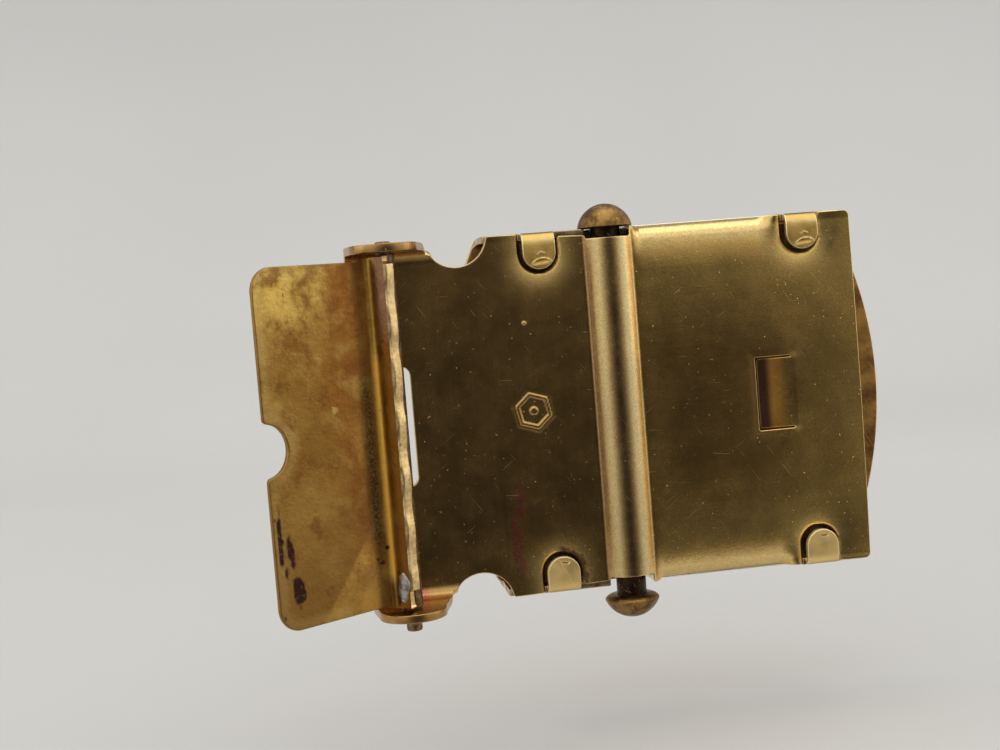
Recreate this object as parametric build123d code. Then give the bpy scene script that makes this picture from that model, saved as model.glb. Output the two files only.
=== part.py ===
from build123d import *
from math import acos, asin, atan2, cos, pi, radians, sin, sqrt
import os

# A brass web-belt buckle standing on edge, seen from behind along +Y.
# X runs along the belt, Z is up, and the wearer's side faces -Y.
# The origin is the middle of the belt's way under the lock bar. All sizes are millimetres.

# Sheets and the box
frame_sheet = 0.8
face_sheet = 0.7
lever_sheet = 0.85
box_height = 36.0
belt_gap = 4.5
edge_relief = 0.05

# Back frame, along X
body_left = -12.15
body_right = 25.35
corner_radius = 0.6
arm_left = -26.1

# Channel pressed in the frame over the lock bar
channel_inner_radius = 2.35
channel_crown = 1.2
knob_notch_width = 4.4
knob_notch_depth = 1.0

# Finger notches between the ears and the body
finger_notch_radius = 3.1
finger_notch_x = -15.2
finger_notch_outset = 0.3

# Window under the jaw
window_left = -25.0
window_right = -20.65
window_height = 11.8
window_radius = 1.0

# Ears and hinge
ear_inset = 1.0
lever_end_gap = 0.7
ear_bend_radius = 1.2
ear_radius = 3.25
ear_root_right = -18.55
hinge_x = -22.5
hinge_height = 4.1
hinge_hole_radius = 0.8
hinge_clearance = 0.05

# Rolled shoulders along the body's long edges
shoulder_start = 3.1
shoulder_end = 17.5
shoulder_depth = 1.7
shoulder_radius = 1.35

# Fold-over tabs
tab_width = 3.3
tab_length = 3.65
tab_proud = 0.25
tab_bend_radius = 1.0
tab_left_x = -6.95
tab_right_x = 20.05
pocket_margin = 0.7
tab_side_gap = 0.25
wall_clearance = 0.05
slit_end_x = 24.4

# Lanced tang in the body
tang_left = 14.3
tang_right = 18.05
tang_height = 7.42
tang_gap = 0.15
tang_free_gap = 0.25
tang_press = 0.6
tang_overlap = 0.2

# Face plate
face_left = -12.5
face_right = 24.75
end_bulge = 4.35
face_bend_radius = 1.0
low_rim_clearance = 0.05

# Clamp lever
lever_length = 15.0
lever_open_angle = 36.0
lever_corner_radius = 2.2
thumb_notch_radius = 2.4
flap_offset = 0.18
hook_radius = 1.9
hook_sweep = 50.0
crevice_radius = 0.5
seat_wrap = 55.0
heel_run = 0.28
lip_top_margin = 0.4
lip_bottom_margin = 1.4
lip_shoulder = 0.97
tooth_pitch = 4.85
tooth_height = 0.36
tooth_samples = 8

# Hinge pin
pin_radius = 1.0
pin_end_clearance = 0.15
pin_top_stub = 0.25
pin_bottom_stub = 1.35
pin_chamfer = 0.15

# Solder bead that holds the pin in the lever
bead_thickness = 0.14
bead_length = 2.9
bead_width = 1.2
bead_z = -14.6
bead_angle = 22.0

# Lock bar and its knobs
bar_radius = 1.6
bar_depth = 1.6
bar_offset = 0.15
bar_end_gap = 0.5
neck_radius = 1.5
neck_stand_off = 1.1
knob_radius = 2.75
knob_flare = 0.25
knob_dome = 2.15
tenon_radius = 0.8
tenon_length = 1.4

# Levels up the box
half_height = box_height / 2
wall_inner = half_height - face_sheet
frame_half = half_height - edge_relief
finger_notch_z = half_height + finger_notch_outset
tab_tip_z = half_height - tab_length
ear_span = box_height - 2 * ear_inset
lever_width = ear_span - 2 * lever_end_gap
lip_top = lever_width / 2 - lip_top_margin
lip_bottom = lip_bottom_margin - lever_width / 2
bar_shoulder = wall_inner - bar_end_gap
neck_top = half_height
neck_bottom = -half_height - neck_stand_off

# Levels across the box, from back to front
back_inner = -belt_gap / 2
back_outer = back_inner - frame_sheet
face_inner = belt_gap / 2
face_outer = face_inner + face_sheet
pocket_floor = back_outer - tab_proud + face_sheet
tab_outer = back_outer - tab_proud
hinge_y = back_outer - hinge_height
bar_y = back_outer + bar_depth
far = 60.0


def block(x_low, x_high, y_low, y_high, z_low, z_high):
    """A box given by its six faces."""
    size = (x_high - x_low, y_high - y_low, z_high - z_low)
    centre = ((x_high + x_low) / 2, (y_high + y_low) / 2, (z_high + z_low) / 2)
    return Pos(*centre) * Box(*size)


def upright(x, y, radius, z_low, z_high):
    """A round bar along Z."""
    return Pos(x, y, (z_low + z_high) / 2) * Cylinder(radius, z_high - z_low)


def through(sketch, y_low, y_high):
    """A sketch drawn in (x, z), carried from y_low to y_high."""
    back = Plane(origin=(0, y_high, 0), x_dir=(1, 0, 0), z_dir=(0, -1, 0))
    return extrude(back * sketch, amount=y_high - y_low)


def along_x(sketch, x_low, x_high):
    """A sketch drawn in (y, z), carried from x_low to x_high."""
    start = Plane(origin=(x_low, 0, 0), x_dir=(0, 1, 0), z_dir=(1, 0, 0))
    return extrude(start * sketch, amount=x_high - x_low)


def rectangle(u_low, u_high, v_low, v_high):
    """A rectangle given by its four sides."""
    centre = ((u_low + u_high) / 2, (v_low + v_high) / 2)
    return Pos(*centre) * Rectangle(u_high - u_low, v_high - v_low)


def tangent_point(point, centre, radius, side):
    """Where the line from a point touches a circle, on the left (1) or right (-1)."""
    dx, dy = point[0] - centre[0], point[1] - centre[1]
    turn = acos(radius / sqrt(dx * dx + dy * dy)) * side
    angle = atan2(dy, dx) + turn
    return centre[0] + radius * cos(angle), centre[1] + radius * sin(angle)


def channelled_plate():
    """The frame's flat body with the half-round channel pressed across it."""
    centre_y = back_outer - channel_crown + frame_sheet + channel_inner_radius
    outer = channel_inner_radius + frame_sheet
    flat = rectangle(body_left, body_right, back_outer, back_inner)
    crown = Pos(0, centre_y) * Circle(outer)
    crown &= rectangle(-outer, outer, back_outer - channel_crown, back_inner)
    section = flat + crown - Pos(0, centre_y) * Circle(channel_inner_radius)
    plate = extrude(section, amount=frame_half, both=True)
    outline = rectangle(body_left, body_right, -frame_half, frame_half)
    right_corners = outline.vertices().group_by(Axis.X)[-1]
    outline = fillet(right_corners, corner_radius)
    return plate & through(outline, back_outer - channel_crown, back_inner)


def rolled_shoulder(side):
    """One long edge of the body, rolled towards the front."""
    roll_start = frame_half - shoulder_radius - edge_relief
    low = back_outer + shoulder_depth
    section = rectangle(back_outer, low, roll_start, frame_half)
    corner = section.vertices().sort_by(lambda v: v.X - v.Y)[0]
    section = fillet(corner, shoulder_radius)
    section -= rectangle(back_inner, low, roll_start, frame_half - frame_sheet)
    section = section if side > 0 else mirror(section, about=Plane.XZ)
    return along_x(section, shoulder_start, shoulder_end)


def ear_mask():
    """The side outline of the arm with its two lugs."""
    bend_top = back_outer - ear_bend_radius
    centre = (hinge_x, hinge_y)
    right = tangent_point((ear_root_right, bend_top), centre, ear_radius, -1)
    left = tangent_point((arm_left, bend_top), centre, ear_radius, 1)
    corners = [
        (arm_left, 0), (finger_notch_x, 0), (finger_notch_x, bend_top),
        (ear_root_right, bend_top), right, centre, left, (arm_left, bend_top),
    ]
    return Polygon(*corners, align=None) + Pos(*centre) * Circle(ear_radius)


def arm_with_ears():
    """The narrow arm of the frame, with both ends bent back into ears."""
    inner = ear_span / 2
    outer = inner + frame_sheet
    tip = hinge_y - ear_radius
    shell = rectangle(tip - 1, back_inner, -outer, outer)
    bends = shell.vertices().group_by(Axis.X)[-1]
    shell = fillet(bends, ear_bend_radius + frame_sheet)
    hollow = rectangle(tip - 2, back_outer, -inner, inner)
    bends = hollow.vertices().group_by(Axis.X)[-1]
    hollow = fillet(bends, ear_bend_radius)
    arm = along_x(shell - hollow, arm_left, finger_notch_x)
    arm &= extrude(ear_mask(), amount=outer, both=True)
    return arm


def notch_shapes():
    """Everything cut straight through the frame from back to front."""
    cuts = []
    y_low, y_high = hinge_y - 2 * ear_radius, 0
    for side in (1, -1):
        round_notch = Pos(finger_notch_x, side * finger_notch_z) * Circle(finger_notch_radius)
        cuts.append(through(round_notch, y_low, y_high))
        knob = rectangle(-knob_notch_width / 2, knob_notch_width / 2, 0, 2 * knob_notch_depth)
        knob = Pos(0, side * half_height - knob_notch_depth) * knob
        cuts.append(through(knob, y_low, y_high))
    window = rectangle(window_left, window_right, -window_height / 2, window_height / 2)
    window = fillet(window.vertices(), window_radius)
    cuts.append(through(window, back_outer - 1, back_inner + 1))
    return cuts


def tab_reliefs():
    """The frame's edge cut back so that the tabs and wall rims stand beside it."""
    left = tab_left_x - tab_width / 2 - tab_side_gap
    right = tab_right_x - tab_width / 2 - tab_side_gap
    spans = ((left, -knob_notch_width / 2), (right, slit_end_x))
    cut = wall_inner - wall_clearance
    for x_low, x_high in spans:
        yield block(x_low, x_high, back_outer - 1, back_inner + 1, cut, half_height)
        yield block(x_low, x_high, back_outer - 1, back_inner + 1, -half_height, -cut)


def pocket(x, side):
    """The round-ended recess that a tab lies in."""
    half_width = tab_width / 2 + pocket_margin
    centre_z = tab_tip_z - pocket_margin + half_width
    shape = Pos(x, centre_z) * Circle(half_width)
    shape += rectangle(x - half_width, x + half_width, centre_z, half_height)
    cut = through(shape, back_outer - 1, pocket_floor)
    return cut if side > 0 else mirror(cut, about=Plane.XY)


def lanced_tang():
    """The tongue cut on three sides and pressed into the belt's way."""
    free = tang_left + tang_free_gap
    root = tang_right + tang_overlap
    section = Polygon(
        (root, back_outer), (root, back_inner),
        (free, back_inner + tang_press), (free, back_outer + tang_press),
        align=None,
    )
    return extrude(section, amount=tang_height / 2 - tang_gap, both=True)


def back_frame():
    """The frame: body, channel, arm and ears in one stamping."""
    plate = channelled_plate()
    for side in (1, -1):
        edge = frame_half - shoulder_radius
        z_low, z_high = sorted((side * edge, side * half_height))
        plate -= block(shoulder_start, shoulder_end, back_outer - 1, 0, z_low, z_high)
        plate += rolled_shoulder(side)
    neck = rectangle(finger_notch_x, body_left, -frame_half, frame_half)
    frame = plate + through(neck, back_outer, back_inner) + arm_with_ears()
    for cut in notch_shapes():
        frame -= cut
    for cut in tab_reliefs():
        frame -= cut
    for x in (tab_left_x, tab_right_x):
        for side in (1, -1):
            frame -= pocket(x, side)
    slot = block(tang_left, tang_right, back_outer - 1, back_inner + 1, -tang_height / 2, tang_height / 2)
    frame = frame - slot + lanced_tang()
    return frame - upright(hinge_x, hinge_y, hinge_hole_radius, -far, far)


def face_outline():
    """The face plate's outline: straight long edges and bowed ends."""
    top_left, top_right = (face_left, half_height), (face_right, half_height)
    low_left, low_right = (face_left, -half_height), (face_right, -half_height)
    edges = [
        Line(top_left, top_right),
        ThreePointArc(top_right, (face_right + end_bulge, 0), low_right),
        Line(low_right, low_left),
        ThreePointArc(low_left, (face_left - end_bulge, 0), top_left),
    ]
    return make_face(Curve() + edges)


def tab(x, side):
    """A tab that rises from the wall and folds over the frame."""
    section = rectangle(tab_outer, pocket_floor, tab_tip_z, half_height)
    section += rectangle(tab_outer, 0, wall_inner, half_height)
    corner = section.vertices().sort_by(lambda v: v.X - v.Y)[0]
    section = fillet(corner, tab_bend_radius)
    strip = along_x(section, x - tab_width / 2, x + tab_width / 2)
    tip = Pos(x, tab_tip_z + tab_width / 2) * Circle(tab_width / 2)
    tip += rectangle(x - tab_width / 2, x + tab_width / 2, tab_tip_z + tab_width / 2, half_height)
    strip &= through(tip, tab_outer, face_outer)
    return strip if side > 0 else mirror(strip, about=Plane.XY)


def wall_steps():
    """What is taken off the walls so that their rims meet the frame."""
    rim = back_inner
    high_rim = back_outer + wall_clearance
    low_rim = back_outer + shoulder_depth + low_rim_clearance
    left_edge = tab_left_x - tab_width / 2 - tab_side_gap
    right_edge = tab_right_x - tab_width / 2 - tab_side_gap
    notch = knob_notch_width / 2
    shoulder_low = shoulder_start - low_rim_clearance
    shoulder_high = shoulder_end + low_rim_clearance
    spans = (
        (-far, left_edge, rim), (left_edge, -notch, high_rim), (-notch, shoulder_low, rim),
        (shoulder_low, shoulder_high, low_rim), (shoulder_high, right_edge, rim),
        (right_edge, slit_end_x, high_rim), (slit_end_x, far, rim),
    )
    for x_low, x_high, level in spans:
        yield block(x_low, x_high, tab_outer - 1, level, -far, far)
    slot_floor = bar_y + knob_notch_width / 2
    yield block(-notch, notch, tab_outer - 1, slot_floor, wall_inner - 1, far)
    yield block(-notch, notch, tab_outer - 1, slot_floor, -far, 1 - wall_inner)


def face_plate():
    """The front: a plate with a wall along each long edge and four tabs."""
    shell = rectangle(back_outer, face_outer, -half_height, half_height)
    bends = shell.vertices().group_by(Axis.X)[-1]
    shell = fillet(bends, face_bend_radius)
    shell -= rectangle(back_outer, face_inner, -wall_inner, wall_inner)
    plate = along_x(shell, face_left - end_bulge, face_right + end_bulge)
    plate &= through(face_outline(), back_outer, face_outer)
    for cut in wall_steps():
        plate -= cut
    for x in (tab_left_x, tab_right_x):
        for side in (1, -1):
            plate += tab(x, side)
    return plate


def lever_plane():
    """The lever's own axes: s along the flap, and height off the flap's inner face."""
    angle = radians(180 + lever_open_angle)
    along = (cos(angle), sin(angle), 0)
    inward = (-sin(angle), cos(angle), 0)
    return Plane(origin=(hinge_x, hinge_y, 0), x_dir=along, z_dir=inward)


def lever_section_plane():
    """The same axes, seen along the hinge: s and height."""
    angle = 180 + lever_open_angle
    along = (cos(radians(angle)), sin(radians(angle)), 0)
    return Plane(origin=(hinge_x, hinge_y, 0), x_dir=along, z_dir=(0, 0, 1))


def tip_height():
    """Height of the toothed edge above the hinge axis."""
    hook_centre = crevice_radius - flap_offset
    return hook_centre + hook_radius * sin(radians(hook_sweep))


def lever_section():
    """Flap, crevice, hook round the pin and lip, drawn in (s, height)."""
    inner = -flap_offset
    outer = inner - lever_sheet
    hook_centre = crevice_radius - flap_offset
    hook_end = (hook_radius * cos(radians(hook_sweep)), tip_height())
    lip_outer = hook_end[0] - lever_sheet
    seat_start = (lip_outer, sqrt(pin_radius ** 2 - lip_outer ** 2))
    seat_end = (pin_radius * cos(radians(seat_wrap)), -pin_radius * sin(radians(seat_wrap)))
    half_sweep = radians(hook_sweep / 2)
    hook_middle = (hook_radius * cos(half_sweep), hook_centre + hook_radius * sin(half_sweep))
    fillet_centre = hook_radius + crevice_radius
    fillet_middle = (
        fillet_centre - crevice_radius * cos(radians(45)),
        hook_centre - crevice_radius * sin(radians(45)),
    )
    edges = [
        Line((lever_length, inner), (fillet_centre, inner)),
        ThreePointArc((fillet_centre, inner), fillet_middle, (hook_radius, hook_centre)),
        ThreePointArc((hook_radius, hook_centre), hook_middle, hook_end),
        Line(hook_end, (lip_outer, hook_end[1])),
        Line((lip_outer, hook_end[1]), seat_start),
        ThreePointArc(seat_start, (pin_radius, 0), seat_end),
        Line(seat_end, (seat_end[0] + heel_run, outer)),
        Line((seat_end[0] + heel_run, outer), (lever_length, outer)),
        Line((lever_length, outer), (lever_length, inner)),
    ]
    return make_face(Curve() + edges)


def flap_outline():
    """The lever from above: rounded free corners and a thumb notch."""
    half = lever_width / 2
    outline = rectangle(-hook_radius, lever_length, -half, half)
    corners = outline.vertices().group_by(Axis.X)[-1]
    outline = fillet(corners, lever_corner_radius)
    return outline - Pos(lever_length, 0) * Circle(thumb_notch_radius)


def tooth_cut():
    """What is taken off the lip: shoulders at both ends and waves between the teeth."""
    top = tip_height() + 1
    half = lever_width / 2 + 1
    middle = (lip_top + lip_bottom) / 2
    count = int((lip_top - lip_bottom) / tooth_pitch * tooth_samples)
    wave = []
    for step in range(count + 1):
        z = lip_bottom + (lip_top - lip_bottom) * step / count
        dip = (1 - cos(2 * pi * (z - middle) / tooth_pitch)) / 2
        wave.append((tip_height() - tooth_height * dip, z))
    profile = [(top, -half), (lip_shoulder, -half), (lip_shoulder, lip_bottom)]
    profile += wave + [(lip_shoulder, lip_top), (lip_shoulder, half), (top, half)]
    start = lever_plane().location * Pos(-hook_radius, 0, 0)
    face = Plane(origin=start.position, x_dir=lever_plane().z_dir, z_dir=lever_plane().x_dir)
    mirrored = [(height, -z) for height, z in profile] if face.y_dir.Z < 0 else profile
    return extrude(face * Polygon(*mirrored, align=None), amount=2 * hook_radius)


def clamp_lever():
    """The lever: flap, hook and toothed lip."""
    body = extrude(lever_section_plane() * lever_section(), amount=lever_width / 2, both=True)
    body &= extrude(lever_plane() * flap_outline(), amount=2 * hook_radius, both=True)
    return body - tooth_cut()


def hinge_pin():
    """The pin: a stout middle between the ears and a thin end in each ear."""
    shoulder = ear_span / 2 - pin_end_clearance
    end_radius = hinge_hole_radius - hinge_clearance
    top = ear_span / 2 + frame_sheet + pin_top_stub
    bottom = -ear_span / 2 - frame_sheet - pin_bottom_stub
    thin = upright(hinge_x, hinge_y, end_radius, bottom, top)
    rims = thin.edges().filter_by(GeomType.CIRCLE)
    thin = chamfer(rims, pin_chamfer)
    return upright(hinge_x, hinge_y, pin_radius, -shoulder, shoulder) + thin


def solder_bead():
    """A flat run of solder over the lower end of the hook."""
    hook_centre = crevice_radius - flap_offset
    section = Pos(0, hook_centre) * (Circle(hook_radius + bead_thickness) - Circle(hook_radius))
    section &= rectangle(0, 2 * hook_radius, hook_centre, lip_shoulder)
    shell = extrude(lever_section_plane() * section, amount=lever_width / 2, both=True)
    angle = radians(180 + lever_open_angle + bead_angle)
    outward = (cos(angle), sin(angle), 0)
    spot = Plane(origin=(hinge_x, hinge_y, bead_z), x_dir=(0, 0, 1), z_dir=outward)
    return shell & extrude(spot * Ellipse(bead_length / 2, bead_width / 2), amount=2 * hook_radius)


def lock_bar():
    """The bar that rolls on the belt, with a neck and a tenon at each end."""
    bar = upright(bar_offset, bar_y, bar_radius, -bar_shoulder, bar_shoulder)
    bar += upright(bar_offset, bar_y, neck_radius, neck_bottom, neck_top)
    return bar + upright(bar_offset, bar_y, tenon_radius, neck_bottom - tenon_length, neck_top + tenon_length)


def knob_section():
    """Half of a mushroom head: flared underside, rim and spherical dome."""
    top = knob_flare + knob_dome
    dome_radius = (knob_radius ** 2 + knob_dome ** 2) / (2 * knob_dome)
    half_swing = asin(knob_radius / dome_radius) / 2
    middle = (dome_radius * sin(half_swing), top - dome_radius + dome_radius * cos(half_swing))
    edges = [
        Line((0, 0), (neck_radius, 0)),
        Line((neck_radius, 0), (knob_radius, knob_flare)),
        ThreePointArc((knob_radius, knob_flare), middle, (0, top)),
        Line((0, top), (0, 0)),
    ]
    return make_face(Curve() + edges)


def knob(z, side):
    """A knob seated on the neck's end."""
    head = revolve(Plane.XZ * knob_section(), Axis.Z)
    head -= upright(0, 0, tenon_radius, 0, tenon_length)
    head = head if side > 0 else mirror(head, about=Plane.XY)
    return Pos(bar_offset, bar_y, z) * head


def parts():
    """Every piece, by the name it is known by."""
    return {
        "back_frame": back_frame(),
        "face_plate": face_plate(),
        "clamp_lever": clamp_lever(),
        "hinge_pin": hinge_pin(),
        "solder_bead": solder_bead(),
        "lock_bar": lock_bar(),
        "knob_upper": knob(neck_top, 1),
        "knob_lower": knob(neck_bottom, -1),
    }


os.makedirs("parts", exist_ok=True)
for name, shape in parts().items():
    export_step(shape, "parts/" + name + ".step")
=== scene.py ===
from math import atan2, cos, pi, radians, sin, sqrt

import bpy
import numpy as np
from mathutils import Matrix, Vector


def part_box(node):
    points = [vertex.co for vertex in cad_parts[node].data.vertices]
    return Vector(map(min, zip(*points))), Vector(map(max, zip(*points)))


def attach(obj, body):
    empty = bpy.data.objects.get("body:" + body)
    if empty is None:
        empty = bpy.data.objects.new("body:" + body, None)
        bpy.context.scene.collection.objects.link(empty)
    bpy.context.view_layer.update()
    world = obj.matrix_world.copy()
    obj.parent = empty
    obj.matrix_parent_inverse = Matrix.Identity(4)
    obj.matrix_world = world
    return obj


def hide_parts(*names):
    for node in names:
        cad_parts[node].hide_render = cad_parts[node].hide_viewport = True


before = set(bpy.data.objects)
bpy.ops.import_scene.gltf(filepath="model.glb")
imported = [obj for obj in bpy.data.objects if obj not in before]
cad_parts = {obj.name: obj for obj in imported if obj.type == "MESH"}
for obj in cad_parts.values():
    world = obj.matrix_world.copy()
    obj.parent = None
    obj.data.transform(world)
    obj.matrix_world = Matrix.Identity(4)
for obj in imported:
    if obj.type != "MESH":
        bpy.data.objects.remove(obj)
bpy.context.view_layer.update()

MM = 0.001


def box_mm(node):
    low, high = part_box(node)
    return np.array(low) / MM, np.array(high) / MM


# ---- where things are, in mm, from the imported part
plate_low, plate_high = box_mm("back_frame")
face_low, face_high = box_mm("face_plate")
lever_low, lever_high = box_mm("clamp_lever")
pin_low, pin_high = box_mm("hinge_pin")
bar_low, bar_high = box_mm("lock_bar")
bead_low, bead_high = box_mm("solder_bead")
cap_low, cap_high = box_mm("knob_upper")
foot_low, foot_high = box_mm("knob_lower")

hinge = (pin_low + pin_high) / 2 * np.array([1, 1, 0])
bar = (bar_low + bar_high) / 2

# sheet thicknesses, then the levels and ends that the pieces share
SHEET, FACE, LEVER = 0.8, 0.7, 0.85
HALF = plate_high[2]
WALL = face_high[2]
BACK = face_low[1] + 0.25
FRONT = face_high[1]
RIGHT = plate_high[0]
ARM_LEFT = plate_low[0]
BODY_LEFT = -12.15

# the pressed channel over the bar
CROWN, CROWN_R = 1.2, 2.95

# the ears: where they bend, their round ends and their roots
EAR_SPAN, EAR_BEND, EAR_R = 17.0, 1.2, 3.25
EAR_ROOT = (ARM_LEFT, -18.55)
PIN_HOLE = 0.8

# cuts in the plate: finger notch (x, z, radius), knob notch, window (left, right, half height, radius)
NOTCH = (-15.2, 18.3, 3.1)
KNOB_NOTCH = 2.2
WINDOW = (-25.0, -20.65, 5.9, 0.9)
CORNER_R, CUT_R, RIM_R = 0.6, 0.15, 0.09

# the fold-over tabs and the pressed pockets that they lie in
TABS, TAB_W, TAB_TIP = (-6.95, 20.05), 3.3, 14.35
POCKET_ROOM, POCKET_DEPTH = 0.40, 0.50
DISH_DEPTH, DISH_FADE = 0.33, 1.35

# the lanced tang (left, right, half height) and how deep its free end is pressed
TANG = (14.3, 18.05, 3.71)
TANG_PRESS = 0.62

# the long edges' rolled shoulders: from, to, radius, depth of the edge, and the plate's easing into them
SHOULDER, SHOULDER_R, SHOULDER_DROP = (3.1, 17.0), 1.35, 1.7
EASE_START, EASE_END = 13.4, 16.8

# the struck mark and the small raised dot
MARK, MARK_R, MARK_RISE = (-8.7, 0.43), 1.45, 0.17
DOT, DOT_RISE = (-8.99, 9.15), 0.12


# ---- small helpers on arrays
def smooth(x, low, high):
    t = np.clip((x - low) / (high - low), 0, 1)
    return t * t * (3 - 2 * t)


def bell(x, middle, width):
    """A soft band around a place, 1 at its middle."""
    return np.exp(-((x - middle) / width) ** 2)


def rect_d(x, z, x0, x1, z0, z1, r=0.0):
    """Signed distance to a rounded rectangle, negative inside."""
    qx = np.abs(x - (x0 + x1) / 2) - (x1 - x0) / 2 + r
    qz = np.abs(z - (z0 + z1) / 2) - (z1 - z0) / 2 + r
    return np.hypot(np.maximum(qx, 0), np.maximum(qz, 0)) + np.minimum(np.maximum(qx, qz), 0) - r


def hash_noise(x, z, cell, seed):
    """Smooth value noise with cells of the given size, from -1 to 1."""
    rng = np.random.default_rng(seed)
    grid = rng.uniform(-1, 1, (128, 128))
    fx, fz = x / cell, z / cell
    ix, iz = np.floor(fx).astype(int), np.floor(fz).astype(int)
    tx, tz = fx - ix, fz - iz
    tx, tz = tx * tx * (3 - 2 * tx), tz * tz * (3 - 2 * tz)
    a = grid[ix % 128, iz % 128]
    b = grid[(ix + 1) % 128, iz % 128]
    c = grid[ix % 128, (iz + 1) % 128]
    d = grid[(ix + 1) % 128, (iz + 1) % 128]
    return (a * (1 - tx) + b * tx) * (1 - tz) + (c * (1 - tx) + d * tx) * tz


def spots(t, z, marks, ragged=0.25):
    """Islands of corrosion: (t, z, half width, half height, slant) each, with ragged edges."""
    best = np.zeros(np.shape(t))
    for t0, z0, wide, tall, slant in marks:
        dt, dz = t - t0 - slant * (z - z0), z - z0
        away = np.hypot(dt / wide, dz / tall) + ragged * hash_noise(t, z, 0.45, 51)
        best = np.maximum(best, 1 - smooth(away, 0.75, 1.0))
    return best


def put(name, data):
    """A new object in the scene."""
    obj = bpy.data.objects.new(name, data)
    bpy.context.scene.collection.objects.link(obj)
    return obj


def mesh_object(name, verts, faces, body, nodes, masks=None, sharp=35):
    mesh = bpy.data.meshes.new(name)
    mesh.from_pydata((np.asarray(verts) * MM).tolist(), [], faces)
    mesh.validate(clean_customdata=False)
    mesh.polygons.foreach_set("use_smooth", [True] * len(mesh.polygons))
    mesh.set_sharp_from_angle(angle=radians(sharp))
    for key, values in (masks or {}).items():
        layer = mesh.attributes.new(key, "FLOAT", "POINT")
        layer.data.foreach_set("value", np.asarray(values, np.float32))
    obj = put(name, mesh)
    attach(obj, body)
    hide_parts(*nodes)
    return obj


def lines(*spans):
    """Grid lines from (start, end, step) spans, joined."""
    out = []
    for start, end, step in spans:
        n = max(1, int(round((end - start) / step)))
        out.extend(np.linspace(start, end, n + 1).tolist())
    out = np.array(sorted(out))
    keep = np.append(True, np.diff(out) > 1e-4)
    return out[keep]


def sheet_mesh(us, vs, outline, front, back, rim):
    """A sheet over the (u, v) grid, kept where outline(u, v) < 0, between the surfaces front and back.

    The grid reaches past the outline. The cut edge is rounded off with the given radius. Returns the
    vertices, the faces, each vertex's (u, v) and 1 for each vertex of the rounded edge."""
    U, V = np.meshgrid(us, vs, indexing="ij")
    D = outline(U, V) + rim
    inside = D < 0
    index = -np.ones(U.shape, int)
    index[inside] = np.arange(inside.sum())
    pu, pv = U[inside].tolist(), V[inside].tolist()
    cut = {}

    def crossing(i, j, k, l):
        """The vertex where the outline crosses a grid edge."""
        key = (i, j, k, l) if (i, j) < (k, l) else (k, l, i, j)
        if key not in cut:
            a, b = D[key[0], key[1]], D[key[2], key[3]]
            t = a / (a - b)
            t = min(max(t, 0.02), 0.98)
            pu.append(U[key[0], key[1]] * (1 - t) + U[key[2], key[3]] * t)
            pv.append(V[key[0], key[1]] * (1 - t) + V[key[2], key[3]] * t)
            cut[key] = len(pu) - 1
        return cut[key]

    faces, border = [], []
    count = (inside[:-1, :-1].astype(int) + inside[1:, :-1] + inside[1:, 1:] + inside[:-1, 1:])
    for i, j in np.argwhere(count == 4):
        faces.append((index[i, j], index[i + 1, j], index[i + 1, j + 1], index[i, j + 1]))
    for i, j in np.argwhere((count > 0) & (count < 4)):
        ring = [(i, j), (i + 1, j), (i + 1, j + 1), (i, j + 1)]
        poly, marks = [], []
        for n in range(4):
            a, b = ring[n], ring[(n + 1) % 4]
            if inside[a]:
                poly.append(index[a])
                marks.append(False)
            if inside[a] != inside[b]:
                poly.append(crossing(*a, *b))
                marks.append(True)
        faces.append(tuple(poly))
        for n in range(len(poly)):
            if marks[n] and marks[(n + 1) % len(poly)]:
                border.append((poly[n], poly[(n + 1) % len(poly)]))

    pu, pv = np.array(pu), np.array(pv)
    f, b = front(pu, pv), back(pu, pv)
    n = len(pu)
    verts = [f, b]
    uv = [np.stack([pu, pv], 1)] * 2
    all_faces = [tuple(p[::-1]) for p in faces] + [tuple(q + n for q in p) for p in faces]

    edge_ids = sorted({q for e in border for q in e})
    place = {q: k for k, q in enumerate(edge_ids)}
    e = np.array(edge_ids, int)

    def slopes(way):
        """How way() changes along u and along v at the cut edge."""
        x, z, h = pu[e], pv[e], 0.02
        return (way(x + h, z) - way(x - h, z)) / (2 * h), (way(x, z + h) - way(x, z - h)) / (2 * h)

    (gu, gv), (tu, tv) = slopes(outline), slopes(front)
    out = tu * gu[:, None] + tv * gv[:, None]
    out /= np.maximum(np.linalg.norm(out, axis=1), 1e-6)[:, None]
    through = b[e] - f[e]
    depth = np.maximum(np.linalg.norm(through, axis=1), 1e-6)[:, None]
    through = through / depth
    r = np.minimum(rim, depth * 0.45)
    rings = [e]
    base = 2 * n
    for side, way, angles in ((f, through, (30, 60, 90)), (b, -through, (90, 60, 30))):
        for angle in angles:
            a = radians(angle)
            verts.append(side[e] + out * r * sin(a) + way * r * (1 - cos(a)))
            rings.append(base + np.arange(len(e)))
            base += len(e)
    rings.append(e + n)
    uv.extend([np.stack([pu[e], pv[e]], 1)] * 6)
    for a, c in border:
        ka, kc = place[a], place[c]
        for low, high in zip(rings, rings[1:]):
            all_faces.append((low[ka], low[kc], high[kc], high[ka]))
    edge_mask = np.zeros(base)
    edge_mask[2 * n:] = 1
    return np.concatenate(verts), all_faces, np.concatenate(uv), edge_mask


# ---- back frame
def roll(u):
    """How far the long edge is rolled at this x, from 0 to 1."""
    start = smooth(u, SHOULDER[0] - 0.7, SHOULDER[0] + 0.5)
    return start * (1 - smooth(u, SHOULDER[1] - 1.3, SHOULDER[1] + 0.7))


def crown(u):
    """Height of the pressed channel over the plate."""
    round_top = np.sqrt(np.maximum(CROWN_R ** 2 - u ** 2, 0)) - (CROWN_R - CROWN)
    foot = 0.10
    return (round_top + np.sqrt(round_top ** 2 + foot ** 2)) / 2 * smooth(-np.abs(u), -2.75, -2.4)


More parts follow.
